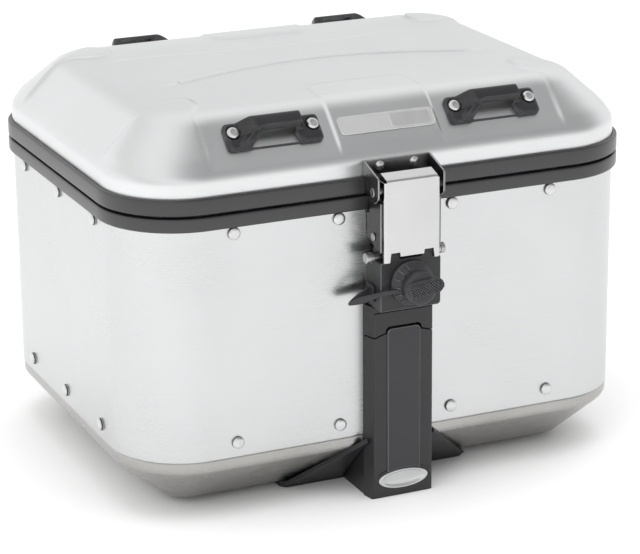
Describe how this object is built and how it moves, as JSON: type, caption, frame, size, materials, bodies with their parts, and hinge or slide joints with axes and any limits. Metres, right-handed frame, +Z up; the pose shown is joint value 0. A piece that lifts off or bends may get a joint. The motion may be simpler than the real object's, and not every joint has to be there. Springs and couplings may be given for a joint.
{
  "type": "motorcycle top case",
  "caption": "Riveted aluminium top case with a rear-hinged lid, tie-down loops, a toggle latch with lock, and a release column over a mounting plate.",
  "frame": {"origin": "centre of the flat underside of the mounting plate's footprint, midway across the case wall's width and depth", "axes": "+X to the right seen from the lock side, -Y towards the lock side, +Z up"},
  "size_m": [0.468, 0.421, 0.341],
  "materials": {
    "case_aluminium": "satin, fine brushed",
    "lid_aluminium": "satin, fine brushed",
    "pan_aluminium": "satin",
    "black_plastic": "fine grained",
    "loop_plastic": "satin",
    "handle_plastic": "fine grained",
    "rubber": "matt",
    "badge_plastic": "satin, two tones, no text",
    "silver_plastic": "silver lacquer",
    "polished_steel": "polished",
    "dark_steel": "satin",
    "rivet_steel": "satin",
    "zinc_steel": "zinc plated",
    "brass_chrome": "plated"
  },
  "bodies": {
    "case": {"case_wall": "case_aluminium", "bottom_pan": "pan_aluminium", "case_frame": "black_plastic", "base_plate": "black_plastic", "upper_rivets_front": "rivet_steel", "lower_rivets_front": "rivet_steel", "upper_rivets_right": "rivet_steel", "lower_rivets_right": "rivet_steel", "upper_rivets_rear": "rivet_steel", "lower_rivets_rear": "rivet_steel", "upper_rivets_left": "rivet_steel", "lower_rivets_left": "rivet_steel", "catch_bar": "zinc_steel", "lock_housing": "black_plastic", "tether_anchor": "rubber", "column_shoulder": "black_plastic", "lock_column": "black_plastic", "handle_pin": "zinc_steel", "button_spring": "zinc_steel", "release_hook_pin": "zinc_steel", "hinge_case_leaf_left": "black_plastic", "hinge_case_leaf_right": "black_plastic", "hinge_pin_left": "zinc_steel", "hinge_pin_right": "zinc_steel"},
    "lid": {"lid_shell": "lid_aluminium", "lid_frame": "black_plastic", "lid_seal": "rubber", "lid_badge": "badge_plastic", "tie_down_loop_front_left": "loop_plastic", "tie_down_loop_front_right": "loop_plastic", "tie_down_loop_rear_left": "loop_plastic", "tie_down_loop_rear_right": "loop_plastic", "loop_bolt_front_left_a": "rivet_steel", "loop_bolt_front_left_b": "rivet_steel", "loop_bolt_front_right_a": "rivet_steel", "loop_bolt_front_right_b": "rivet_steel", "loop_bolt_rear_left_a": "rivet_steel", "loop_bolt_rear_left_b": "rivet_steel", "loop_bolt_rear_right_a": "rivet_steel", "loop_bolt_rear_right_b": "rivet_steel", "latch_bracket": "polished_steel", "bracket_rivet_left": "rivet_steel", "bracket_rivet_right": "rivet_steel", "latch_pivot_pin": "zinc_steel", "hinge_lid_leaf_left": "black_plastic", "hinge_lid_leaf_right": "black_plastic"},
    "latch": {"latch_lever": "polished_steel", "latch_hook": "dark_steel", "latch_hook_rivet": "rivet_steel"},
    "cap": {"dust_cap": "rubber", "cap_tether": "rubber"},
    "lock": {"lock_cylinder": "brass_chrome"},
    "handle": {"carry_handle": "handle_plastic"},
    "button": {"release_button": "silver_plastic"},
    "hook": {"release_hook": "zinc_steel"}
  },
  "joints": [
    {"name": "lid_hinge", "type": "hinge", "parent": "case", "child": "lid", "pos_m": [0, 0.1845, 0.2636], "axis": [-1, 0, 0], "range_deg": [0, 95]},
    {"name": "latch_pivot", "type": "hinge", "parent": "lid", "child": "latch", "pos_m": [0, -0.1955, 0.27], "axis": [-1, 0, 0], "range_deg": [0, 90]},
    {"name": "cap_flip", "type": "hinge", "parent": "case", "child": "cap", "pos_m": [-0.0505, -0.189, 0.1835], "axis": [0, 0, -1], "range_deg": [0, 110]},
    {"name": "lock_turn", "type": "hinge", "parent": "case", "child": "lock", "pos_m": [0, -0.19, 0.1925], "axis": [0, -1, 0], "range_deg": [0, 90]},
    {"name": "handle_swing", "type": "hinge", "parent": "case", "child": "handle", "pos_m": [0, -0.1857, 0.1432], "axis": [-1, 0, 0], "range_deg": [0, 85]},
    {"name": "button_push", "type": "slide", "parent": "case", "child": "button", "axis": [0, 1, 0], "range_m": [0, 0.005], "stiffness_N_per_m": 500, "springref_m": -0.004},
    {"name": "hook_release", "type": "hinge", "parent": "case", "child": "hook", "pos_m": [0, -0.155, 0.0085], "axis": [1, 0, 0], "range_deg": [0, 13]}
  ],
  "couplings": [
    {"joint": "hook_release", "follows": "button_push", "rad_per_m": 41.888}
  ]
}
